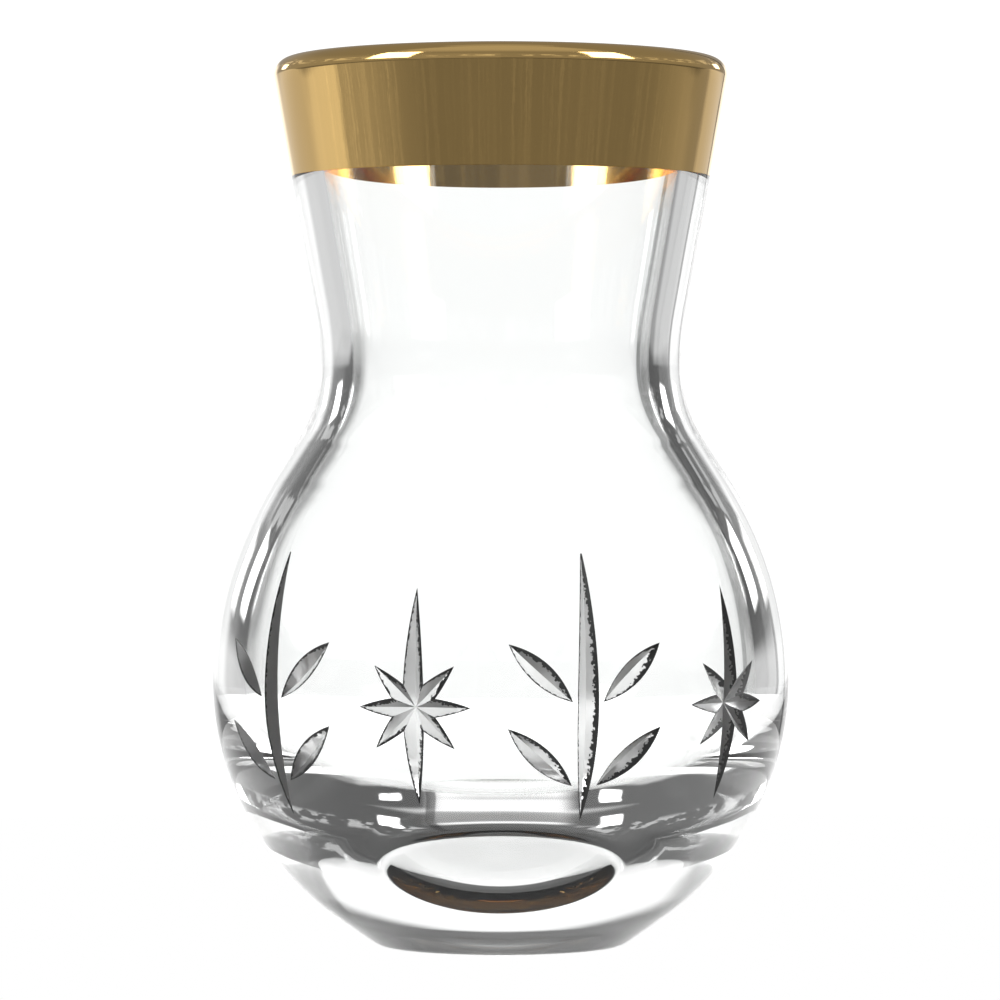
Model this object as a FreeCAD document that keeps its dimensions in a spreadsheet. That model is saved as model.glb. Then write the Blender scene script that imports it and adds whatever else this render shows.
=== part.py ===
"""Small thick-walled crystal posy vase with a gilded rim and a wheel-cut frieze of leaf sprays and stars.

Millimetres, +Z up, origin at the centre of the flat base, front of the frieze towards -Y.
Two pieces: glass_body, blown crystal with its cuts, and gold_band, the gold film fired on the rim.
The blown shape is one closed outline turned about Z, in which the lines and arcs of the wall run tangent.
A sketch's coordinates are (r, z): distance from the axis, and height.
"""

import FreeCAD, Part
import math
import os

import Sketcher
from FreeCAD import Matrix, Placement, Vector

# The driving dimensions: lengths in millimetres, angles in degrees.
DIMENSIONS = {
    "height": 120.0,
    "wall": 4.4,
    "base_thickness": 12.0,
    "base_corner": 3.5,
    "flank_angle": 55.0,
    "belly_radius": 39.0,
    "belly_height": 36.0,
    "shoulder_curve": 50.0,
    "neck_radius": 24.5,
    "neck_height": 78.6,
    "neck_lower_curve": 18.5,
    "neck_upper_curve": 40.0,
    "flare_angle": 10.0,
    "cavity_curve": 17.5,
    "band_bottom": 104.0,
    "film": 0.15,
    "wheel_angle": 104.0,
    "cut_depth": 1.15,
    "cutter_reach": 4.0,
}

# Where the frieze's motifs sit: the angle round the vase between neighbours, and the height of their middles.
MOTIF_SPACING = 33.5
MOTIF_HEIGHT = 34.0

# One wheel cut is (sideways, upwards, lean, length). The first two place the middle of the cut, measured along
# the glass from the middle of its motif. Lean is in degrees from upright, positive towards the right.
STEM_LENGTH = 31.0
LEAF_LENGTH = 11.5
LEAF_OFFSET = 6.2
LEAF_LEAN = 48.0
LEAF_STEPS = (-6.5, 4.5)
SPRAY = [(0.0, 0.0, 0.0, STEM_LENGTH)]
for step in LEAF_STEPS:
    SPRAY.append((-LEAF_OFFSET, step, -LEAF_LEAN, LEAF_LENGTH))
    SPRAY.append((LEAF_OFFSET, step, LEAF_LEAN, LEAF_LENGTH))
RAY_LENGTH = 15.0
STAR = [(0.0, 0.0, 0.0, 26.0)]
for lean in (-45.0, 45.0, 90.0):
    STAR.append((0.0, 0.0, lean, RAY_LENGTH))
FRIEZE = (SPRAY, STAR, SPRAY, STAR)

# The radius of the flare at the band's lower edge.
BAND_RADIUS = (
    "Dimensions.neck_radius + Dimensions.neck_upper_curve * (1 - cos(Dimensions.flare_angle * 1 deg))"
    " + (Dimensions.band_bottom - Dimensions.neck_height"
    " - Dimensions.neck_upper_curve * sin(Dimensions.flare_angle * 1 deg))"
    " * tan(Dimensions.flare_angle * 1 deg)"
)

# Sketcher's numbers for the ends of a line or arc, and for the sketch's own origin and upright axis.
START, END, CENTRE = 1, 2, 3
ORIGIN = (-1, 1)
UPRIGHT = -2


def make_sheet(doc):
    """The spreadsheet of driving dimensions, one aliased cell each."""
    sheet = doc.addObject("Spreadsheet::Sheet", "Dimensions")
    for row, (alias, value) in enumerate(DIMENSIONS.items(), start=1):
        sheet.set(f"A{row}", alias)
        sheet.set(f"B{row}", str(value))
        sheet.setAlias(f"B{row}", alias)
    doc.recompute()
    return sheet


def polar(angle):
    """Unit vector in the sketch at this angle from +r, in radians."""
    return Vector(math.cos(angle), math.sin(angle), 0)


class Shape:
    """Where the arcs of the blown shape have their centres, and the angles at which neighbours touch."""

    def __init__(self, sheet):
        for alias in DIMENSIONS:
            setattr(self, alias, float(getattr(sheet, alias)))
        self.flare = math.radians(self.flare_angle)
        self.flank = math.radians(self.flank_angle)
        self.lip_radius = self.wall / 2
        self.set_wall()
        self.set_lip()
        self.set_base()
        self.set_cavity()

    def set_wall(self):
        """The belly and neck arcs. The straight shoulder is a common tangent of the two arcs beside it."""
        equator = Vector(self.belly_radius, self.belly_height, 0)
        waist = Vector(self.neck_radius, self.neck_height, 0)
        self.belly_centre = Vector(0, self.belly_height, 0)
        self.shoulder_centre = equator - Vector(self.shoulder_curve, 0, 0)
        self.lower_neck_centre = waist + Vector(self.neck_lower_curve, 0, 0)
        self.upper_neck_centre = waist + Vector(self.neck_upper_curve, 0, 0)
        gap = self.lower_neck_centre - self.shoulder_centre
        reach = (self.shoulder_curve + self.neck_lower_curve) / gap.Length
        self.slope = math.atan2(gap.y, gap.x) - math.acos(reach)

    def set_lip(self):
        """The lip is a full round between the straight, parallel sides of the flare."""
        normal = polar(-self.flare)
        upwards = polar(math.pi / 2 - self.flare)
        start = self.upper_neck_centre - normal * self.neck_upper_curve
        middle = start - normal * self.lip_radius
        rise = (self.height - self.lip_radius - middle.y) / math.cos(self.flare)
        self.lip_centre = middle + upwards * rise
        self.band_edge = start + upwards * ((self.band_bottom - start.y) / math.cos(self.flare))

    def set_base(self):
        """The base's corner arc touches the table and the straight flank under the belly."""
        corner = self.base_corner
        level = self.belly_radius - self.belly_height * math.sin(self.flank)
        radius = (level - corner + corner * math.sin(self.flank)) / math.cos(self.flank)
        self.corner_centre = Vector(radius, corner, 0)

    def set_cavity(self):
        """The cavity's floor is a shallow bowl on the axis that touches the arc of the cavity's side."""
        curve = self.cavity_curve
        self.cavity_centre = Vector(self.belly_radius - self.wall - curve, self.belly_height, 0)
        depth = self.belly_height - self.base_thickness
        self.bowl_curve = (self.cavity_centre.x**2 + depth**2 - curve**2) / (2 * (depth - curve))
        self.bowl_centre = Vector(0, self.base_thickness + self.bowl_curve, 0)
        self.bowl_edge = math.atan2(self.cavity_centre.y - self.bowl_centre.y, self.cavity_centre.x)


def arc(centre, radius, start_angle, end_angle):
    """Anticlockwise arc in the sketch, angles in radians."""
    circle = Part.Circle(centre, Vector(0, 0, 1), radius)
    return Part.ArcOfCircle(circle, start_angle, end_angle)


def glass_steps(shape):
    """The outline of the glass, anticlockwise from the middle of the base: name, geometry, direction, next join."""
    flare_normal = polar(-shape.flare)
    slope_normal = polar(shape.slope)
    flank_normal = polar(-shape.flank)
    half_turn = math.pi
    inner_lip = shape.lip_radius - shape.film
    outer_waist = shape.neck_upper_curve
    foot = Vector(shape.corner_centre.x, 0, 0)
    flank_start = shape.corner_centre + flank_normal * shape.base_corner
    flank_end = shape.belly_centre + flank_normal * shape.belly_radius
    slope_start = shape.shoulder_centre + slope_normal * shape.shoulder_curve
    slope_end = shape.lower_neck_centre - slope_normal * shape.neck_lower_curve
    flare_start = shape.upper_neck_centre - flare_normal * outer_waist
    recess_start = shape.band_edge - flare_normal * shape.film
    recess_end = shape.lip_centre + flare_normal * inner_lip
    lip_step = shape.lip_centre - flare_normal * inner_lip
    lip_end = shape.lip_centre - flare_normal * shape.lip_radius
    inner_flare_end = flare_start - flare_normal * shape.wall
    inner_slope_top = slope_end - slope_normal * shape.wall
    inner_slope_end = slope_start - slope_normal * shape.wall
    floor = Vector(0, shape.base_thickness, 0)
    return [
        ("base", Part.LineSegment(Vector(0, 0, 0), foot), True, "Tangent"),
        ("corner", arc(shape.corner_centre, shape.base_corner, -half_turn / 2, -shape.flank), True, "Tangent"),
        ("flank", Part.LineSegment(flank_start, flank_end), True, "Tangent"),
        ("belly", arc(shape.belly_centre, shape.belly_radius, -shape.flank, 0), True, "Tangent"),
        ("shoulder", arc(shape.shoulder_centre, shape.shoulder_curve, 0, shape.slope), True, "Tangent"),
        ("slope", Part.LineSegment(slope_start, slope_end), True, "Tangent"),
        (
            "lower_neck",
            arc(shape.lower_neck_centre, shape.neck_lower_curve, half_turn, half_turn + shape.slope),
            False,
            "Tangent",
        ),
        (
            "upper_neck",
            arc(shape.upper_neck_centre, shape.neck_upper_curve, half_turn - shape.flare, half_turn),
            False,
            "Tangent",
        ),
        ("flare", Part.LineSegment(flare_start, shape.band_edge), True, "Perpendicular"),
        ("recess_step", Part.LineSegment(shape.band_edge, recess_start), True, "Perpendicular"),
        ("recess", Part.LineSegment(recess_start, recess_end), True, "Tangent"),
        ("lip", arc(shape.lip_centre, inner_lip, -shape.flare, half_turn - shape.flare), True, "Perpendicular"),
        ("lip_step", Part.LineSegment(lip_step, lip_end), True, "Perpendicular"),
        ("inner_flare", Part.LineSegment(lip_end, inner_flare_end), True, "Tangent"),
        (
            "inner_upper_neck",
            arc(
                shape.upper_neck_centre,
                shape.neck_upper_curve + shape.wall,
                half_turn - shape.flare,
                half_turn,
            ),
            True,
            "Tangent",
        ),
        (
            "inner_lower_neck",
            arc(
                shape.lower_neck_centre,
                shape.neck_lower_curve + shape.wall,
                half_turn,
                half_turn + shape.slope,
            ),
            True,
            "Tangent",
        ),
        ("inner_slope", Part.LineSegment(inner_slope_top, inner_slope_end), True, "Tangent"),
        (
            "inner_shoulder",
            arc(shape.shoulder_centre, shape.shoulder_curve - shape.wall, 0, shape.slope),
            False,
            "Tangent",
        ),
        ("cavity_side", arc(shape.cavity_centre, shape.cavity_curve, shape.bowl_edge, 0), False, "Tangent"),
        ("bowl", arc(shape.bowl_centre, shape.bowl_curve, -half_turn / 2, shape.bowl_edge), False, "Coincident"),
        ("axis", Part.LineSegment(floor, Vector(0, 0, 0)), True, "Coincident"),
    ]


def add_outline(sketch, steps):
    """Adds a closed outline whose neighbours share an end point. Returns the index of each step by its name."""
    index = {}
    for name, geometry, _, _ in steps:
        index[name] = sketch.addGeometry(geometry, False)
    followers = steps[1:] + steps[:1]
    for (name, _, forwards, join), (follower, _, follower_forwards, _) in zip(steps, followers):
        leaves = END if forwards else START
        enters = START if follower_forwards else END
        sketch.addConstraint(Sketcher.Constraint(join, index[name], leaves, index[follower], enters))
    return index


def bind(sketch, label, kind, where, value, expression):
    """Adds a dimension to the sketch and binds it to an expression on the sheet's cells."""
    number = sketch.addConstraint(Sketcher.Constraint(kind, *where, value))
    sketch.renameConstraint(number, label)
    sketch.setExpression(f"Constraints.{label}", expression)


def new_outline(doc, body_name, sketch_name):
    """An empty body with a sketch on its own upright XZ plane."""
    body = doc.addObject("PartDesign::Body", body_name)
    sketch = body.newObject("Sketcher::SketchObject", sketch_name)
    plane = [feature for feature in body.Origin.OriginFeatures if feature.Role == "XZ_Plane"][0]
    sketch.AttachmentSupport = [(plane, "")]
    sketch.MapMode = "FlatFace"
    return body, sketch


def turn(body, sketch, name):
    """Turns the sketch a full circle about its own upright axis."""
    revolution = body.newObject("PartDesign::Revolution", name)
    revolution.Profile = sketch
    revolution.ReferenceAxis = (sketch, ["V_Axis"])
    revolution.Angle = 360
    return revolution


def make_blank(doc, shape):
    """The blown and ground vase before it is cut: belly, shoulder, neck, lip and cavity."""
    body, sketch = new_outline(doc, "Blank", "GlassOutline")
    step = add_outline(sketch, glass_steps(shape))
    for name, index, place in (
        ("base", START, ORIGIN),
        ("inner_upper_neck", CENTRE, (step["upper_neck"], CENTRE)),
        ("inner_lower_neck", CENTRE, (step["lower_neck"], CENTRE)),
        ("inner_shoulder", CENTRE, (step["shoulder"], CENTRE)),
    ):
        sketch.addConstraint(Sketcher.Constraint("Coincident", step[name], index, *place))
    for name, index in (("belly", CENTRE), ("bowl", CENTRE), ("bowl", START)):
        sketch.addConstraint(Sketcher.Constraint("PointOnObject", step[name], index, UPRIGHT))
    sketch.addConstraint(Sketcher.Constraint("Horizontal", step["base"]))
    sketch.addConstraint(Sketcher.Constraint("Parallel", step["recess_step"], step["lip_step"]))
    sketch.addConstraint(Sketcher.Constraint("Parallel", step["slope"], step["inner_slope"]))

    for name, alias in (
        ("corner", "base_corner"),
        ("belly", "belly_radius"),
        ("shoulder", "shoulder_curve"),
        ("lower_neck", "neck_lower_curve"),
        ("upper_neck", "neck_upper_curve"),
        ("cavity_side", "cavity_curve"),
    ):
        bind(sketch, f"{name}_radius", "Radius", (step[name],), getattr(shape, alias), f"Dimensions.{alias}")
    for name, index, alias in (
        ("belly", CENTRE, "belly_height"),
        ("shoulder", CENTRE, "belly_height"),
        ("cavity_side", CENTRE, "belly_height"),
        ("lower_neck", CENTRE, "neck_height"),
        ("upper_neck", CENTRE, "neck_height"),
        ("flare", END, "band_bottom"),
        ("bowl", START, "base_thickness"),
    ):
        where = (*ORIGIN, step[name], index)
        bind(sketch, f"{name}_level", "DistanceY", where, getattr(shape, alias), f"Dimensions.{alias}")
    for name in ("recess_step", "lip_step"):
        bind(sketch, f"{name}_length", "Distance", (step[name],), shape.film, "Dimensions.film")
    waist = (*ORIGIN, step["upper_neck"], END)
    bind(sketch, "waist_radius", "DistanceX", waist, shape.neck_radius, "Dimensions.neck_radius")
    right_angle = math.pi / 2
    flank = right_angle - shape.flank
    bind(sketch, "flank_rise", "Angle", (step["flank"],), flank, "(90 - Dimensions.flank_angle) * 1 deg")
    flare = right_angle - shape.flare
    bind(sketch, "flare_rise", "Angle", (step["flare"],), flare, "(90 - Dimensions.flare_angle) * 1 deg")
    lip_radius = shape.lip_radius - shape.film
    bind(sketch, "lip_radius", "Radius", (step["lip"],), lip_radius, "Dimensions.wall / 2 - Dimensions.film")
    where = (*ORIGIN, step["lip"], CENTRE)
    bind(sketch, "lip_level", "DistanceY", where, shape.lip_centre.y, "Dimensions.height - Dimensions.wall / 2")
    turn(body, sketch, "GlassTurned")
    return body


def make_band(doc, shape):
    """The gold film, from the band's lower edge on the outside, over the lip, to where the lip ends inside."""
    body, sketch = new_outline(doc, "GoldBand", "BandOutline")
    normal = polar(-shape.flare)
    inner_lip = shape.lip_radius - shape.film
    half_turn = math.pi
    outer_end = shape.lip_centre + normal * shape.lip_radius
    inner_start = shape.lip_centre + normal * inner_lip
    inner_edge = shape.band_edge - normal * shape.film
    lip_out = shape.lip_centre - normal * shape.lip_radius
    lip_in = shape.lip_centre - normal * inner_lip
    steps = [
        ("outside", Part.LineSegment(shape.band_edge, outer_end), True, "Tangent"),
        (
            "outer_lip",
            arc(shape.lip_centre, shape.lip_radius, -shape.flare, half_turn - shape.flare),
            True,
            "Perpendicular",
        ),
        ("end", Part.LineSegment(lip_out, lip_in), True, "Coincident"),
        (
            "inner_lip",
            arc(shape.lip_centre, inner_lip, -shape.flare, half_turn - shape.flare),
            False,
            "Tangent",
        ),
        ("inside", Part.LineSegment(inner_start, inner_edge), True, "Perpendicular"),
        ("lower_edge", Part.LineSegment(inner_edge, shape.band_edge), True, "Perpendicular"),
    ]
    step = add_outline(sketch, steps)
    centres = (step["outer_lip"], CENTRE, step["inner_lip"], CENTRE)
    sketch.addConstraint(Sketcher.Constraint("Coincident", *centres))
    sketch.addConstraint(Sketcher.Constraint("Parallel", step["lower_edge"], step["end"]))
    bind(sketch, "film", "Distance", (step["end"],), shape.film, "Dimensions.film")
    bind(sketch, "lip_radius", "Radius", (step["outer_lip"],), shape.lip_radius, "Dimensions.wall / 2")
    level = (*ORIGIN, step["outer_lip"], CENTRE)
    bind(sketch, "lip_level", "DistanceY", level, shape.lip_centre.y, "Dimensions.height - Dimensions.wall / 2")
    level = (*ORIGIN, step["outside"], START)
    bind(sketch, "band_level", "DistanceY", level, shape.band_bottom, "Dimensions.band_bottom")
    rise = math.pi / 2 - shape.flare
    bind(sketch, "flare_rise", "Angle", (step["outside"],), rise, "(90 - Dimensions.flare_angle) * 1 deg")
    where = (*ORIGIN, step["outside"], START)
    bind(sketch, "band_radius", "DistanceX", where, shape.band_edge.x, BAND_RADIUS)
    turn(body, sketch, "BandTurned")
    body.Label = "gold_band"
    return body


def make_wheel_section(doc, shape):
    """The V-shaped rim of the cutting wheel: its point at the sketch's origin, opening towards +X."""
    sketch = doc.addObject("Sketcher::SketchObject", "WheelSection")
    half = shape.cutter_reach * math.tan(math.radians(shape.wheel_angle / 2))
    point = Vector(0, 0, 0)
    low = Vector(shape.cutter_reach, -half, 0)
    high = Vector(shape.cutter_reach, half, 0)
    steps = [
        ("low_side", Part.LineSegment(point, low), True, "Coincident"),
        ("back", Part.LineSegment(low, high), True, "Coincident"),
        ("high_side", Part.LineSegment(high, point), True, "Coincident"),
    ]
    step = add_outline(sketch, steps)
    sketch.addConstraint(Sketcher.Constraint("Coincident", step["low_side"], START, *ORIGIN))
    sketch.addConstraint(Sketcher.Constraint("Vertical", step["back"]))
    sketch.addConstraint(Sketcher.Constraint("Equal", step["low_side"], step["high_side"]))
    where = (*ORIGIN, step["back"], START)
    bind(sketch, "reach", "DistanceX", where, shape.cutter_reach, "Dimensions.cutter_reach")
    opening = "2 * Dimensions.cutter_reach * tan(Dimensions.wheel_angle / 2 * 1 deg)"
    where = (step["back"], START, step["back"], END)
    bind(sketch, "opening", "DistanceY", where, 2 * half, opening)
    return sketch


def on_belly(shape, around, height_along):
    """Point, outward normal, rightward and upward directions on the belly, as seen from the front.

    around is the angle from the front and height_along the distance up the glass from the equator.
    """
    curve = shape.shoulder_curve if height_along > 0 else shape.belly_radius
    latitude = height_along / curve
    radius = shape.belly_radius - curve + curve * math.cos(latitude)
    rightward = Vector(math.cos(around), math.sin(around), 0)
    outward = Vector(math.sin(around), -math.cos(around), 0)
    upward = Vector(0, 0, 1)
    point = outward * radius + upward * (shape.belly_height + curve * math.sin(latitude))
    normal = outward * math.cos(latitude) + upward * math.sin(latitude)
    climb = upward * math.cos(latitude) - outward * math.sin(latitude)
    return point, normal, rightward, climb


def make_cutter(doc, shape, section, number, around, height_along, lean, length):
    """The path of the wheel's rim in one cut: the section turned about an axis across the cut.

    A short cut is made with the wheel held still, so the axis is outside the glass. In a long one the glass is
    rolled past the wheel, so that the cut's bottom bends the same way as the belly and the axis is inside it.
    """
    point, normal, rightward, climb = on_belly(shape, around, height_along)
    stroke = climb * math.cos(math.radians(lean)) + rightward * math.sin(math.radians(lean))
    across = stroke.cross(normal)
    bottom = point - normal * shape.cut_depth
    belly_bend = 1 / shape.belly_radius if height_along <= 0 else 1 / shape.shoulder_curve
    bend = 8 * shape.cut_depth / length**2 - belly_bend
    cutter = doc.addObject("Part::Revolution", f"Cut{number:02d}")
    cutter.Source = section
    cutter.Solid = True
    cutter.Symmetric = True
    cutter.Axis = Vector(0, 1, 0)
    cutter.Base = Vector(1 / bend, 0, 0)
    cutter.Angle = 2 * math.degrees(math.asin(abs(bend) * (length / 2 + shape.cutter_reach)))
    columns = (normal, across, stroke, bottom)
    cutter.Placement = Placement(
        Matrix(
            *(column.x for column in columns),
            *(column.y for column in columns),
            *(column.z for column in columns),
        )
    )
    return cutter


def make_glass(doc, shape):
    """The blank with the whole frieze cut into its belly."""
    blank = make_blank(doc, shape)
    section = make_wheel_section(doc, shape)
    cutters = []
    middle = (len(FRIEZE) - 1) / 2
    for place, motif in enumerate(FRIEZE):
        around = math.radians((place - middle) * MOTIF_SPACING)
        for sideways, upwards, lean, length in motif:
            height_along = MOTIF_HEIGHT - shape.belly_height + upwards
            turned = around + sideways / shape.belly_radius
            number = len(cutters) + 1
            cutters.append(make_cutter(doc, shape, section, number, turned, height_along, lean, length))
    cuts = doc.addObject("Part::MultiFuse", "Cuts")
    cuts.Shapes = cutters
    glass = doc.addObject("Part::Cut", "GlassBody")
    glass.Base = blank
    glass.Tool = cuts
    glass.Label = "glass_body"
    return glass


def check(doc, pieces):
    """Stops if any object of the document failed, or if a piece isn't one closed, valid solid."""
    for thing in doc.Objects:
        if "Invalid" in thing.State or "Error" in thing.State:
            raise RuntimeError(f"{thing.Label} failed: {thing.State}")
    for piece in pieces:
        solid = piece.Shape
        if solid.isNull() or not solid.isValid() or len(solid.Solids) != 1:
            raise RuntimeError(f"{piece.Label} is not one valid solid")


def main():
    doc = FreeCAD.newDocument("PosyVase")
    shape = Shape(make_sheet(doc))
    pieces = [make_glass(doc, shape), make_band(doc, shape)]
    doc.recompute()
    check(doc, pieces)
    os.makedirs("parts", exist_ok=True)
    for piece in pieces:
        piece.Shape.exportStep(f"parts/{piece.Label}.step")
        box = piece.Shape.BoundBox
        print(piece.Label, "volume", round(piece.Shape.Volume, 1), "from", box.ZMin, "to", box.ZMax)


main()
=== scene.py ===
"""Looks of the crystal posy vase: clear glass with wheel cuts, and the burnished gold band on its rim.

The row frame is in metres, +Z up, front of the frieze towards -Y. Shapes are worked out in millimetres.
"""

import math

import bpy
import numpy as np
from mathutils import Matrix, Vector, kdtree

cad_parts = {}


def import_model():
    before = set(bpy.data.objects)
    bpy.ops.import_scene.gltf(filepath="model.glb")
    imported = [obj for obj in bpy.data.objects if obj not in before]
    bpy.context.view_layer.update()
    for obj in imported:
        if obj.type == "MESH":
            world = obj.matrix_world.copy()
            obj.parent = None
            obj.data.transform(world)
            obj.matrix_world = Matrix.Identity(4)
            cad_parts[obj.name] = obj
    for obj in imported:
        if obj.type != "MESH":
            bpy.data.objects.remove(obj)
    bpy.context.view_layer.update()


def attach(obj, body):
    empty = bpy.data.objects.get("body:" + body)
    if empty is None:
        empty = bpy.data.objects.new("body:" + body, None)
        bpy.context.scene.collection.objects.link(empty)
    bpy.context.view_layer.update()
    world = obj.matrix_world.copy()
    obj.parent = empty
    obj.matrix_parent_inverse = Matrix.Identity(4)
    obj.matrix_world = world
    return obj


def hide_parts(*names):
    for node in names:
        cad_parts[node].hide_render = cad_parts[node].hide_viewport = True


MM = 0.001
TURNS = 288
FLOOR_RADIUS = 0.25
FLOOR_GAP = 0.0003

# Steps along the outlines, in millimetres: the glass, the copy its true normals come from, and the band.
GLASS_STEP = 0.8
FINE_STEP = 0.05
BAND_STEP = 1.5
BAND_LIP_STEP = 0.15

# A face is a cut's facet when its normal leaves the blown surface's by more than the first, and an edge
# between facets is sharp when their normals differ by more than the second. Both are cosines.
FACET_COSINE = 0.93
CREASE_COSINE = 0.94

CRYSTAL_IOR = 1.48

# The camera: its place in metres, its angle from straight down in degrees, and its lens in millimetres.
CAMERA_PLACE = (-0.0001, -0.651, 0.06637)
CAMERA_TILT = 89.463
CAMERA_LENS = 172.8

# The blown shape, in millimetres and degrees: the same one the CAD part is turned from.
HEIGHT = 120.0
WALL = 4.4
BASE_THICKNESS = 12.0
BASE_CORNER = 3.5
FLANK = math.radians(55.0)
BELLY_RADIUS = 39.0
BELLY_HEIGHT = 36.0
SHOULDER_CURVE = 50.0
NECK_RADIUS = 24.5
NECK_HEIGHT = 78.6
NECK_LOWER_CURVE = 18.5
NECK_UPPER_CURVE = 40.0
FLARE = math.radians(10.0)
CAVITY_CURVE = 17.5
BAND_BOTTOM = 104.0
FILM = 0.15
FILM_SEAT = 0.10  # how deep the film's seat is let into the glass
SEAT_STEP = 0.05  # how far above the film's lower edge the seat begins

# The wheel and its cuts. A cut is (sideways, upwards, lean to the right in degrees, length).
WHEEL_ANGLE = math.radians(104.0)
CUT_DEPTH = 1.15
CUTTER_REACH = 4.0
CUTTER_STEPS = 40
MOTIF_SPACING = 33.5
MOTIF_HEIGHT = 34.0
SPRAY = [(0.0, 0.0, 0.0, 31.0)]
for step in (-6.5, 4.5):
    SPRAY.append((-6.2, step, -48.0, 11.5))
    SPRAY.append((6.2, step, 48.0, 11.5))
STAR = [(0.0, 0.0, 0.0, 26.0), (0.0, 0.0, -45.0, 15.0), (0.0, 0.0, 45.0, 15.0), (0.0, 0.0, 90.0, 15.0)]
FRIEZE = (SPRAY, STAR, SPRAY, STAR)


def direction(angle):
    """Unit (r, z) at this angle from +r."""
    return np.array((math.cos(angle), math.sin(angle)))


def arc(centre, radius, start, end, step, side=1.0):
    """Points on an arc as (r, z, normal r, normal z). side is -1 where the glass is outside the arc."""
    count = max(2, math.ceil(abs(end - start) * radius / step))
    angles = np.linspace(start, end, count + 1)
    spokes = np.stack((np.cos(angles), np.sin(angles)), axis=1)
    return np.hstack((np.asarray(centre) + radius * spokes, side * spokes))


def line(start, end, normal, step):
    """Points on a straight line with its normal."""
    count = max(1, math.ceil(float(np.linalg.norm(np.subtract(end, start))) / step))
    share = np.linspace(0.0, 1.0, count + 1)[:, None]
    points = np.asarray(start) * (1 - share) + np.asarray(end) * share
    return np.hstack((points, np.tile(normal, (count + 1, 1))))


def landmarks():
    """The centres and normals that the outlines share."""
    flare = direction(-FLARE)
    shoulder = np.array((BELLY_RADIUS - SHOULDER_CURVE, BELLY_HEIGHT))
    lower_neck = np.array((NECK_RADIUS + NECK_LOWER_CURVE, NECK_HEIGHT))
    upper_neck = np.array((NECK_RADIUS + NECK_UPPER_CURVE, NECK_HEIGHT))
    gap = lower_neck - shoulder
    reach = (SHOULDER_CURVE + NECK_LOWER_CURVE) / np.linalg.norm(gap)
    slope = math.atan2(gap[1], gap[0]) - math.acos(reach)
    flare_start = upper_neck - NECK_UPPER_CURVE * flare
    upwards = direction(math.pi / 2 - FLARE)
    middle = flare_start - flare * WALL / 2
    lip = middle + upwards * (HEIGHT - WALL / 2 - middle[1]) / math.cos(FLARE)
    band_edge = flare_start + upwards * (BAND_BOTTOM - flare_start[1]) / math.cos(FLARE)
    return flare, shoulder, lower_neck, upper_neck, slope, flare_start, upwards, lip, band_edge


def glass_outline(step):
    """The glass, from the middle of the base up the outside, over the lip, and down to the cavity's floor."""
    flare, shoulder, lower_neck, upper_neck, slope, flare_start, upwards, lip, band_edge = landmarks()
    belly = np.array((0.0, BELLY_HEIGHT))
    flank = direction(-FLANK)
    level = BELLY_RADIUS - BELLY_HEIGHT * math.sin(FLANK)
    foot = (level - BASE_CORNER + BASE_CORNER * math.sin(FLANK)) / math.cos(FLANK)
    corner = np.array((foot, BASE_CORNER))
    lean = direction(slope)
    slope_start = shoulder + lean * SHOULDER_CURVE
    slope_end = lower_neck - lean * NECK_LOWER_CURVE
    side = np.array((BELLY_RADIUS - WALL - CAVITY_CURVE, BELLY_HEIGHT))
    depth = BELLY_HEIGHT - BASE_THICKNESS
    bowl_curve = (side[0] ** 2 + depth**2 - CAVITY_CURVE**2) / (2 * (depth - CAVITY_CURVE))
    bowl = np.array((0.0, BASE_THICKNESS + bowl_curve))
    bowl_edge = math.atan2(side[1] - bowl[1], side[0])
    seat = band_edge + upwards * SEAT_STEP - flare * FILM_SEAT
    seat_radius = WALL / 2 - FILM_SEAT
    lip_end = lip - flare * WALL / 2 - upwards * SEAT_STEP
    half_turn = math.pi
    parts = [
        line((0.0, 0.0), (foot, 0.0), (0.0, -1.0), 4 * step),
        arc(corner, BASE_CORNER, -half_turn / 2, -FLANK, step / 2),
        line(corner + flank * BASE_CORNER, belly + flank * BELLY_RADIUS, flank, 2 * step),
        arc(belly, BELLY_RADIUS, -FLANK, 0.0, step),
        arc(shoulder, SHOULDER_CURVE, 0.0, slope, step),
        line(slope_start, slope_end, lean, 2 * step),
        arc(lower_neck, NECK_LOWER_CURVE, half_turn + slope, half_turn, step, -1.0),
        arc(upper_neck, NECK_UPPER_CURVE, half_turn, half_turn - FLARE, step, -1.0),
        line(flare_start, band_edge + upwards * SEAT_STEP, flare, 2 * step),
        line(seat, lip + flare * seat_radius, flare, 2 * step),
        arc(lip, seat_radius, -FLARE, half_turn - FLARE, step / 3),
        line(lip_end, flare_start - flare * WALL, -flare, 2 * step),
        arc(upper_neck, NECK_UPPER_CURVE + WALL, half_turn - FLARE, half_turn, step),
        arc(lower_neck, NECK_LOWER_CURVE + WALL, half_turn, half_turn + slope, step),
        line(slope_end - lean * WALL, slope_start - lean * WALL, -lean, 2 * step),
        arc(shoulder, SHOULDER_CURVE - WALL, slope, 0.0, step, -1.0),
        arc(side, CAVITY_CURVE, 0.0, bowl_edge, step, -1.0),
        arc(bowl, bowl_curve, bowl_edge, -half_turn / 2, step, -1.0),
    ]
    return without_doubles(np.vstack(parts))


def band_outline():
    """The gold film, round its section."""
    flare, _, _, _, _, _, upwards, lip, band_edge = landmarks()
    inner = WALL / 2 - FILM
    top = math.pi - FLARE
    parts = [
        line(band_edge, lip + flare * WALL / 2, flare, BAND_STEP),
        arc(lip, WALL / 2, -FLARE, top, BAND_LIP_STEP),
        arc(lip, inner, top, -FLARE, BAND_LIP_STEP, -1.0),
        line(lip + flare * inner, band_edge - flare * FILM, -flare, BAND_STEP),
    ]
    return without_doubles(np.vstack(parts))


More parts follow.
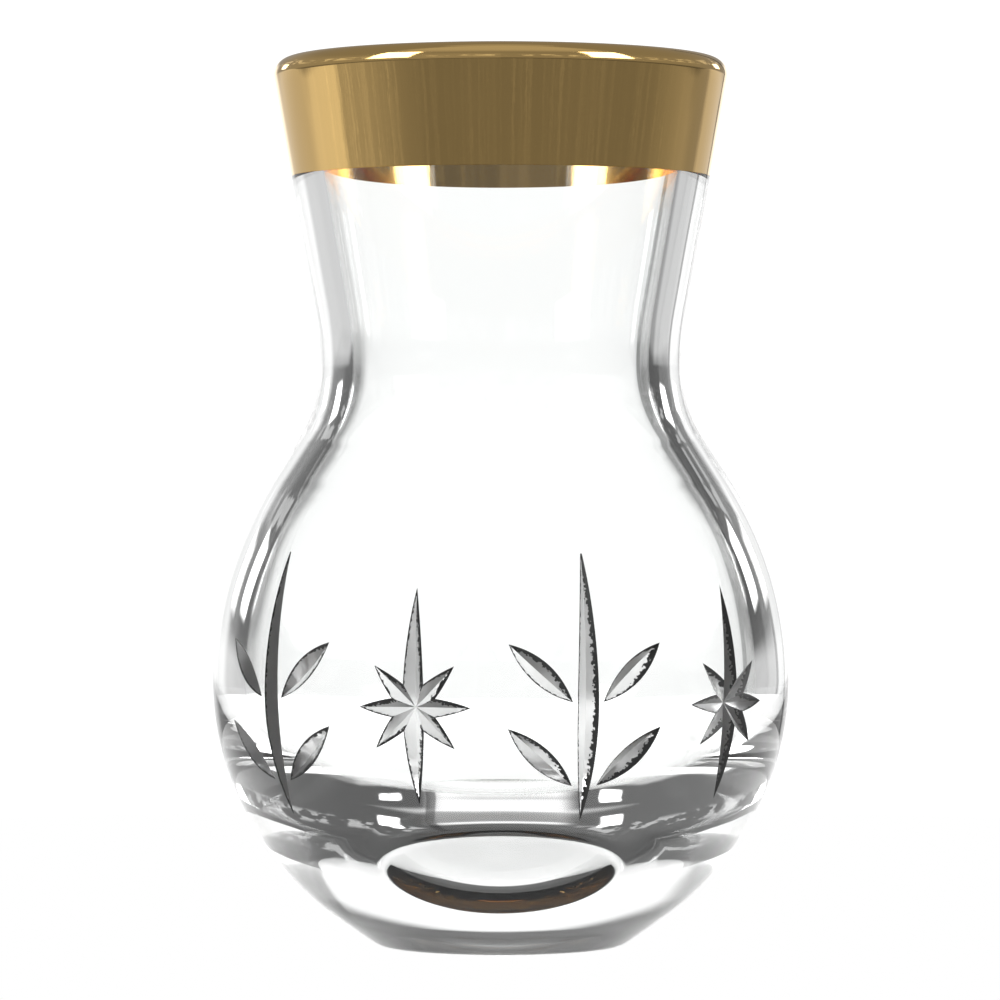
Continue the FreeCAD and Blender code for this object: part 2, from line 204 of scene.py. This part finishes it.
def without_doubles(points):
    """Drops a point that repeats the one before it."""
    apart = np.linalg.norm(np.diff(points[:, :2], axis=0), axis=1) > 1e-4
    return points[np.concatenate(([True], apart))]


def add_mesh(name, verts, faces):
    mesh = bpy.data.meshes.new(name)
    mesh.from_pydata(verts, [], faces)
    mesh.update()
    obj = bpy.data.objects.new(name, mesh)
    bpy.context.scene.collection.objects.link(obj)
    return obj


def lathe(name, outline, closed):
    """Turns an outline about Z. A point on the axis becomes one vertex."""
    angles = np.linspace(0.0, 2 * math.pi, TURNS, endpoint=False)
    verts = []
    rings = []
    for r, z in outline[:, :2]:
        first = len(verts)
        if r < 1e-6:
            verts.append((0.0, 0.0, z * MM))
            rings.append([first] * TURNS)
        else:
            verts.extend((r * MM * math.sin(a), -r * MM * math.cos(a), z * MM) for a in angles)
            rings.append(list(range(first, first + TURNS)))
    followers = rings[1:] + (rings[:1] if closed else [])
    faces = []
    for low, high in zip(rings, followers):
        for k in range(TURNS):
            after = (k + 1) % TURNS
            corners = (low[k], low[after], high[after], high[k])
            faces.append(tuple(dict.fromkeys(corners)))
    return add_mesh(name, verts, faces)


def on_belly(around, along):
    """Point, normal, rightward and upward directions on the belly, in millimetres."""
    curve = SHOULDER_CURVE if along > 0 else BELLY_RADIUS
    latitude = along / curve
    radius = BELLY_RADIUS - curve + curve * math.cos(latitude)
    rightward = Vector((math.cos(around), math.sin(around), 0.0))
    outward = Vector((math.sin(around), -math.cos(around), 0.0))
    upward = Vector((0.0, 0.0, 1.0))
    point = outward * radius + upward * (BELLY_HEIGHT + curve * math.sin(latitude))
    normal = outward * math.cos(latitude) + upward * math.sin(latitude)
    climb = upward * math.cos(latitude) - outward * math.sin(latitude)
    return point, normal, rightward, climb


def add_cutter(number, around, along, lean, length):
    """The path of the wheel's V-shaped rim in one cut, swept about an axis across the cut."""
    point, normal, rightward, climb = on_belly(around, along)
    stroke = climb * math.cos(math.radians(lean)) + rightward * math.sin(math.radians(lean))
    across = stroke.cross(normal)
    bottom = point - normal * CUT_DEPTH
    bend = 8 * CUT_DEPTH / length**2 - (1 / BELLY_RADIUS if along <= 0 else 1 / SHOULDER_CURVE)
    centre = 1 / bend
    half_sweep = math.asin(abs(bend) * (length / 2 + CUTTER_REACH))
    half_width = CUTTER_REACH * math.tan(WHEEL_ANGLE / 2)
    count = CUTTER_STEPS
    verts = []
    for k in range(count + 1):
        turned = half_sweep * (2 * k / count - 1)
        for x, y in ((0.0, 0.0), (CUTTER_REACH, -half_width), (CUTTER_REACH, half_width)):
            local = Vector((centre + (x - centre) * math.cos(turned), y, -(x - centre) * math.sin(turned)))
            verts.append((bottom + normal * local.x + across * local.y + stroke * local.z) * MM)
    faces = [(0, 1, 2), tuple(3 * count + i for i in (2, 1, 0))]
    for k in range(count):
        for i in range(3):
            j = (i + 1) % 3
            faces.append((3 * k + i, 3 * k + 3 + i, 3 * k + 3 + j, 3 * k + j))
    cutter = add_mesh(f"cutter_{number}", verts, faces)
    outwards(cutter)
    return cutter


def outwards(obj):
    """Turns a closed mesh's faces to point outwards."""
    mesh = obj.data
    volume = 0.0
    mesh.calc_loop_triangles()
    for triangle in mesh.loop_triangles:
        a, b, c = (mesh.vertices[i].co for i in triangle.vertices)
        volume += a.dot(b.cross(c))
    if volume < 0:
        mesh.flip_normals()


def cut_frieze(glass):
    """Takes every cut of the frieze out of the glass."""
    cutters = []
    middle = (len(FRIEZE) - 1) / 2
    for place, motif in enumerate(FRIEZE):
        around = math.radians((place - middle) * MOTIF_SPACING)
        for sideways, upwards, lean, length in motif:
            along = MOTIF_HEIGHT - BELLY_HEIGHT + upwards
            cutters.append(add_cutter(len(cutters), around + sideways / BELLY_RADIUS, along, lean, length))
    for cutter in cutters:
        step = glass.modifiers.new(cutter.name, "BOOLEAN")
        step.operation = "DIFFERENCE"
        step.solver = "MANIFOLD"
        step.object = cutter
    graph = bpy.context.evaluated_depsgraph_get()
    cut = bpy.data.meshes.new_from_object(glass.evaluated_get(graph))
    glass.modifiers.clear()
    glass.data = cut
    for cutter in cutters:
        bpy.data.objects.remove(cutter)


def smooth_blown_surface(glass):
    """Gives the blown surface its true normals and the cuts crisp edges, and marks the facets of the cuts."""
    mesh = glass.data
    fine = glass_outline(FINE_STEP)
    tree = kdtree.KDTree(len(fine))
    for i, (r, z, _, _) in enumerate(fine):
        tree.insert((r, z, 0.0), i)
    tree.balance()

    def blown(place):
        """The blown surface's normal nearest to a place, and how far away it is in millimetres."""
        r = math.hypot(place.x, place.y) / MM
        _, i, gap = tree.find((r, place.z / MM, 0.0))
        _, _, across, up = fine[i]
        if r < 1e-3:
            return Vector((0.0, 0.0, up)), gap
        return Vector((across * place.x / MM / r, across * place.y / MM / r, up)).normalized(), gap

    near = [blown(vertex.co) for vertex in mesh.vertices]
    facets = []
    for face in mesh.polygons:
        normal, _ = blown(face.center)
        facets.append(face.normal.dot(normal) < FACET_COSINE)
        face.use_smooth = True
        face.material_index = 1 if facets[-1] else 0
    depth = mesh.attributes.new("cut_depth", "FLOAT", "POINT")
    depth.data.foreach_set("value", [gap for _, gap in near])

    sides = [[] for _ in mesh.edges]
    for face in mesh.polygons:
        for loop in face.loop_indices:
            sides[mesh.loops[loop].edge_index].append(face.index)
    for edge, faces in zip(mesh.edges, sides):
        first, last = faces[0], faces[-1]
        bent = mesh.polygons[first].normal.dot(mesh.polygons[last].normal) < CREASE_COSINE
        edge.use_edge_sharp = facets[first] != facets[last] or (facets[first] and bent)
    normals = [Vector((0.0, 0.0, 0.0))] * len(mesh.loops)
    for face in mesh.polygons:
        if facets[face.index]:
            continue
        for loop in face.loop_indices:
            normals[loop] = near[mesh.loops[loop].vertex_index][0]
    mesh.normals_split_custom_set(normals)


class Nodes:
    """Short spelling for a shader's node tree."""

    def __init__(self, tree):
        self.tree = tree
        tree.nodes.clear()

    def add(self, kind, inputs=None, **settings):
        node = self.tree.nodes.new(kind)
        for name, value in settings.items():
            setattr(node, name, value)
        for socket, value in (inputs or {}).items():
            if isinstance(value, bpy.types.NodeSocket):
                self.tree.links.new(value, node.inputs[socket])
            else:
                node.inputs[socket].default_value = value
        return node

    def math(self, operation, *values):
        return self.add("ShaderNodeMath", dict(enumerate(values)), operation=operation).outputs[0]

    def times(self, *values):
        """The product of two or more values."""
        product = values[0]
        for value in values[1:]:
            product = self.math("MULTIPLY", product, value)
        return product

    def fade(self, value, start, end, low=0.0, high=1.0):
        """Smooth change from low at start to high at end."""
        inputs = {"Value": value, "From Min": start, "From Max": end, "To Min": low, "To Max": high}
        node = self.add("ShaderNodeMapRange", inputs, interpolation_type="SMOOTHSTEP")
        return node.outputs["Result"]

    def noise(self, vector, scale, detail=2.0, roughness=0.5):
        inputs = {"Vector": vector, "Scale": scale, "Detail": detail, "Roughness": roughness}
        return self.add("ShaderNodeTexNoise", inputs).outputs["Fac"]


def new_material(name):
    material = bpy.data.materials.new(name)
    material.use_nodes = True
    return material, Nodes(material.node_tree)


def crystal_material():
    """Clear crystal with the faint unevenness of a blown, fire-polished surface."""
    material, nodes = new_material("crystal")
    place = nodes.add("ShaderNodeTexCoord").outputs["Object"]
    drift = nodes.noise(place, 38.0, 1.0)
    bump = nodes.add("ShaderNodeBump", {"Strength": 0.16, "Distance": 0.0006, "Height": drift})
    shader = nodes.add(
        "ShaderNodeBsdfPrincipled",
        {
            "Base Color": (0.985, 0.992, 0.988, 1.0),
            "Roughness": 0.0,
            "IOR": CRYSTAL_IOR,
            "Transmission Weight": 1.0,
            "Normal": bump.outputs[0],
        },
    )
    nodes.add("ShaderNodeOutputMaterial", {"Surface": shader.outputs[0]})
    return material


def cut_material():
    """The facets of the cuts: ground silky white, with painted shade along their edges: a near-black rim,
    ragged like chips, wider on facets facing left or down.
    """
    material, nodes = new_material("ground_cut")
    place = nodes.add("ShaderNodeTexCoord").outputs["Object"]
    grain = nodes.noise(place, 2600.0, 4.0, 0.7)
    ripple = nodes.noise(place, 420.0, 3.0, 0.6)
    height = nodes.math("ADD", nodes.times(ripple, 0.7), nodes.times(grain, 0.3))
    bump = nodes.add("ShaderNodeBump", {"Strength": 0.5, "Distance": 0.00012, "Height": height})
    facet = nodes.add(
        "ShaderNodeBsdfPrincipled",
        {
            "Base Color": (0.98, 0.985, 0.985, 1.0),
            "Roughness": 0.2,
            "IOR": CRYSTAL_IOR,
            "Transmission Weight": 1.0,
            "Normal": bump.outputs[0],
        },
    )
    silk_inputs = {"Color": (0.9, 0.9, 0.9, 1.0), "Normal": bump.outputs[0]}
    silk = nodes.add("ShaderNodeBsdfTranslucent", silk_inputs)
    ground = nodes.add("ShaderNodeMixShader", {0: 0.3, 1: facet.outputs[0], 2: silk.outputs[0]})

    # The rightward direction round the vase, against which the facets' own directions are measured.
    split = nodes.add("ShaderNodeSeparateXYZ", {0: place})
    back = nodes.times(split.outputs["Y"], -1.0)
    right = nodes.add("ShaderNodeCombineXYZ", {0: back, 1: split.outputs["X"]}).outputs[0]
    right = nodes.add("ShaderNodeVectorMath", {0: right}, operation="NORMALIZE").outputs[0]
    facing = nodes.add("ShaderNodeNewGeometry").outputs["True Normal"]
    across = nodes.add("ShaderNodeVectorMath", {0: facing, 1: right}, operation="DOT_PRODUCT").outputs["Value"]
    upward = nodes.add("ShaderNodeSeparateXYZ", {0: facing}).outputs["Z"]
    shaded = nodes.math("ADD", across, nodes.times(upward, 0.6))

    # How deep in millimetres the painted shade reaches below the blown surface, deepest on facets facing left
    # or down.
    reach = nodes.fade(shaded, -0.25, 0.15, 0.42, 0.13)
    ragged = nodes.fade(nodes.noise(place, 2400.0, 1.0), 0.3, 0.7, 0.6, 1.5)
    depth = nodes.add("ShaderNodeAttribute", attribute_name="cut_depth").outputs["Fac"]
    painted_shade_mask = nodes.math("LESS_THAN", depth, nodes.times(reach, ragged))
    # Painted shade: a near-black coat along the edges of the cuts, ragged like chips.
    painted_shade = nodes.add(
        "ShaderNodeBsdfPrincipled",
        {"Base Color": (0.02, 0.02, 0.02, 1.0), "Roughness": 0.3, "Normal": bump.outputs[0]},
    )
    shader = nodes.add("ShaderNodeMixShader", {0: painted_shade_mask, 1: ground.outputs[0], 2: painted_shade.outputs[0]})
    nodes.add("ShaderNodeOutputMaterial", {"Surface": shader.outputs[0]})
    return material


def gold_material():
    """Burnished gold film, with faint upright lines from its brush and burnishing."""
    material, nodes = new_material("gold")
    place = nodes.add("ShaderNodeTexCoord").outputs["Object"]
    squeezed = nodes.add("ShaderNodeMapping", {"Vector": place, "Scale": (900.0, 900.0, 12.0)}).outputs[0]
    lines = nodes.noise(squeezed, 1.0, 3.0, 0.6)
    height = nodes.math("ADD", nodes.times(lines, 0.25), nodes.noise(place, 55.0))
    bump = nodes.add("ShaderNodeBump", {"Strength": 0.06, "Distance": 0.0005, "Height": height})
    wear = nodes.fade(nodes.noise(place, 160.0, 4.0, 0.6), 0.3, 0.7, 0.04, 0.09)
    shader = nodes.add(
        "ShaderNodeBsdfPrincipled",
        {
            "Base Color": (0.82, 0.55, 0.21, 1.0),
            "Metallic": 1.0,
            "Roughness": wear,
            "Normal": bump.outputs[0],
        },
    )
    nodes.add("ShaderNodeOutputMaterial", {"Surface": shader.outputs[0]})
    return material


def add_floor():
    """A round, pale table top a hair below the vase, plain white to the camera and clear from below. To other
    rays it glows with painted light, brighter behind the vase than in front, with a painted shadow out to
    about 9 cm from its middle that is lifted again within about 3 cm.
    """
    count = 96
    ring = [2 * math.pi * k / count for k in range(count)]
    verts = [(FLOOR_RADIUS * math.sin(a), -FLOOR_RADIUS * math.cos(a), -FLOOR_GAP) for a in ring]
    floor = add_mesh("floor", verts, [tuple(range(count))])
    material, nodes = new_material("floor_white")
    matt = nodes.add("ShaderNodeBsdfDiffuse", {"Color": (0.8, 0.8, 0.8, 1.0)})
    place = nodes.add("ShaderNodeTexCoord").outputs["Object"]
    split = nodes.add("ShaderNodeSeparateXYZ", {0: place})
    bearing = nodes.math("DEGREES", nodes.math("ARCTAN2", split.outputs["X"], split.outputs["Y"]))
    # Painted light and shade on the table, for rays other than the camera's: brighter behind the vase, darker
    # in front, and a painted shadow round the vase.
    painted_light_level = nodes.fade(nodes.math("ABSOLUTE", bearing), 30.0, 130.0, 0.95, 0.25)
    reach = nodes.add("ShaderNodeVectorMath", {0: place}, operation="LENGTH").outputs["Value"]
    painted_light_level = nodes.times(painted_light_level, nodes.fade(reach, 0.04, 0.09, 0.76, 1.0))
    painted_light_level = nodes.math("MAXIMUM", painted_light_level, nodes.fade(reach, 0.02, 0.034, 0.45, 0.0))
    painted_floor_glow = nodes.add("ShaderNodeEmission", {"Color": (1.0, 1.0, 1.0, 1.0), "Strength": painted_light_level})
    both = nodes.add("ShaderNodeAddShader", {0: matt.outputs[0], 1: painted_floor_glow.outputs[0]})
    plain = nodes.add("ShaderNodeEmission", {"Color": (1.0, 1.0, 1.0, 1.0), "Strength": 1.0})
    seen = nodes.add("ShaderNodeLightPath").outputs["Is Camera Ray"]
    mix = nodes.add("ShaderNodeMixShader", {0: seen, 1: both.outputs[0], 2: plain.outputs[0]})
    clear = nodes.add("ShaderNodeBsdfTransparent")
    under = nodes.add("ShaderNodeNewGeometry").outputs["Backfacing"]
    mix = nodes.add("ShaderNodeMixShader", {0: under, 1: mix.outputs[0], 2: clear.outputs[0]})
    nodes.add("ShaderNodeOutputMaterial", {"Surface": mix.outputs[0]})
    floor.data.materials.append(material)


# Lamps as the vase sees them: azimuth from +Y towards +X, elevation, half widths, all in degrees, and power.
LAMPS = (
    (-37.0, 9.0, 2.5, 3.0, 5.0),
    (37.0, 10.0, 2.5, 3.0, 5.0),
    (-121.0, 27.0, 11.0, 15.0, 5.0),
    (121.0, 27.0, 11.0, 15.0, 5.0),
)


def add_world():
    """A dim studio: white backdrop behind the vase, pale table level, dark walls and ceiling, and lamps."""
    world = bpy.data.worlds.new("studio")
    world.use_nodes = True
    bpy.context.scene.world = world
    nodes = Nodes(world.node_tree)
    heading = nodes.add("ShaderNodeTexCoord").outputs["Generated"]
    split = nodes.add("ShaderNodeSeparateXYZ", {0: heading})
    elevation = nodes.math("DEGREES", nodes.math("ARCSINE", split.outputs["Z"]))
    azimuth = nodes.math("DEGREES", nodes.math("ARCTAN2", split.outputs["X"], split.outputs["Y"]))
    away = nodes.math("ABSOLUTE", azimuth)

    def patch(az, el, half_az, half_el, soft):
        """1 inside a rectangle of the surroundings, 0 outside it."""
        across = nodes.math("ABSOLUTE", nodes.math("SUBTRACT", azimuth, az))
        up = nodes.math("ABSOLUTE", nodes.math("SUBTRACT", elevation, el))
        return nodes.times(
            nodes.fade(across, half_az, half_az + soft, 1.0, 0.0),
            nodes.fade(up, half_el, half_el + soft, 1.0, 0.0),
        )

    def mix(share, first, second):
        return nodes.add("ShaderNodeMix", {0: share, 2: first, 3: second}).outputs[0]

    # The table's level: brightest behind the vase, striped in front, and stepped down at each side.
    stripe_inputs = {"W": azimuth, "Scale": 0.45, "Detail": 2.0, "Roughness": 0.5}
    stripes = nodes.add("ShaderNodeTexNoise", stripe_inputs, noise_dimensions="1D").outputs["Fac"]
    stripes = nodes.math("ABSOLUTE", nodes.math("SUBTRACT", stripes, 0.5))
    stripes = nodes.fade(stripes, 0.0, 0.03, 1.5, 1.0)
    stripes = mix(nodes.fade(away, 60.0, 90.0), 1.0, stripes)
    aside = nodes.math("ABSOLUTE", nodes.math("ADD", azimuth, 20.0))
    table = nodes.times(
        nodes.fade(aside, 66.0, 70.0, 0.76, 0.36),
        nodes.fade(aside, 72.0, 125.0, 1.0, 0.42),
        stripes,
        nodes.fade(away, 56.0, 66.0, 0.74, 1.0),
    )

    # Dark walls above the table, with a few dimly lit things along them.
    clutter = nodes.fade(nodes.noise(heading, 9.0, 2.0, 0.6), 0.50, 0.58, 0.0, 0.4)
    lit = nodes.times(clutter, patch(0.0, 17.0, 180.0, 3.0, 4.0), nodes.fade(away, 22.0, 30.0))
    wall = nodes.math("ADD", nodes.fade(azimuth, -30.0, 30.0, 0.07, 0.03), lit)
    horizon = nodes.math("SUBTRACT", elevation, nodes.fade(away, 46.0, 64.0, 1.0, -5.0))
    side = mix(nodes.fade(horizon, -1.5, 1.5, 1.0, 0.0), wall, table)

    # The white backdrop behind the vase, all of it fading out towards the ceiling.
    backdrop = nodes.times(nodes.fade(away, 18.0, 27.0, 1.0, 0.0), nodes.fade(elevation, 7.0, 13.0, 1.0, 0.0))
    level = mix(backdrop, side, 1.08)
    level = nodes.math("ADD", nodes.times(level, nodes.fade(elevation, 22.0, 38.0, 1.0, 0.0)), 0.06)

    # Soft light from above the front and from the zenith, and a veil that only mirrors see.
    front = nodes.times(nodes.fade(elevation, 20.0, 60.0, 0.12, 1.0), nodes.fade(away, 85.0, 120.0, 0.0, 0.45))
    overhead = nodes.math("MAXIMUM", front, nodes.fade(elevation, 66.0, 80.0, 0.0, 0.35))
    overhead = nodes.times(overhead, nodes.fade(elevation, 0.0, 8.0))
    ray = nodes.add("ShaderNodeLightPath")
    veil = nodes.times(ray.outputs["Is Reflection Ray"], nodes.fade(elevation, -4.0, 2.0, 0.0, 0.22))
    level = nodes.math("ADD", level, nodes.math("MAXIMUM", overhead, veil))

    # A dark stand at one side, then the lamps. The camera itself sees white.
    stand = patch(23.0, 5.0, 1.2, 30.0, 0.8)
    level = nodes.times(level, nodes.math("SUBTRACT", 1.0, nodes.times(stand, 0.65)))
    for az, el, half_az, half_el, power in LAMPS:
        level = nodes.math("ADD", level, nodes.times(patch(az, el, half_az, half_el, 2.0), power))
    level = nodes.math("MAXIMUM", level, ray.outputs["Is Camera Ray"])
    background = nodes.add("ShaderNodeBackground", {"Color": (1.0, 1.0, 1.0, 1.0), "Strength": level})
    nodes.add("ShaderNodeOutputWorld", {"Surface": background.outputs[0]})


def add_camera():
    """The camera in front of the vase, a little above its middle."""
    data = bpy.data.cameras.new("camera")
    data.lens = CAMERA_LENS
    data.sensor_width = 36.0
    data.clip_start = 0.01
    camera = bpy.data.objects.new("camera", data)
    camera.location = CAMERA_PLACE
    camera.rotation_euler = (math.radians(CAMERA_TILT), 0.0, 0.0)
    bpy.context.scene.collection.objects.link(camera)
    bpy.context.scene.camera = camera


def set_scene():
    """Plain colours, and enough bounces for light to leave the thick glass."""
    scene = bpy.context.scene
    scene.view_settings.view_transform = "Standard"
    scene.view_settings.look = "None"
    scene.cycles.max_bounces = 40
    scene.cycles.transmission_bounces = 40
    scene.cycles.glossy_bounces = 12
    scene.cycles.diffuse_bounces = 4
    scene.cycles.blur_glossy = 0.0
    scene.cycles.sample_clamp_indirect = 0.0


def main():
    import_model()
    glass = lathe("crystal_vase", glass_outline(GLASS_STEP), False)
    outwards(glass)
    cut_frieze(glass)
    glass.data.materials.clear()
    glass.data.materials.append(crystal_material())
    glass.data.materials.append(cut_material())
    smooth_blown_surface(glass)
    band = lathe("gold_rim_band", band_outline(), True)
    outwards(band)
    band.data.shade_smooth()
    band.data.set_sharp_from_angle(angle=math.radians(40.0))
    band.data.materials.append(gold_material())
    for obj, node, slot in ((glass, "glass_body", "crystal"), (band, "gold_band", "gold")):
        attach(obj, "root")
        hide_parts(node)
    add_floor()
    add_world()
    add_camera()
    set_scene()


main()
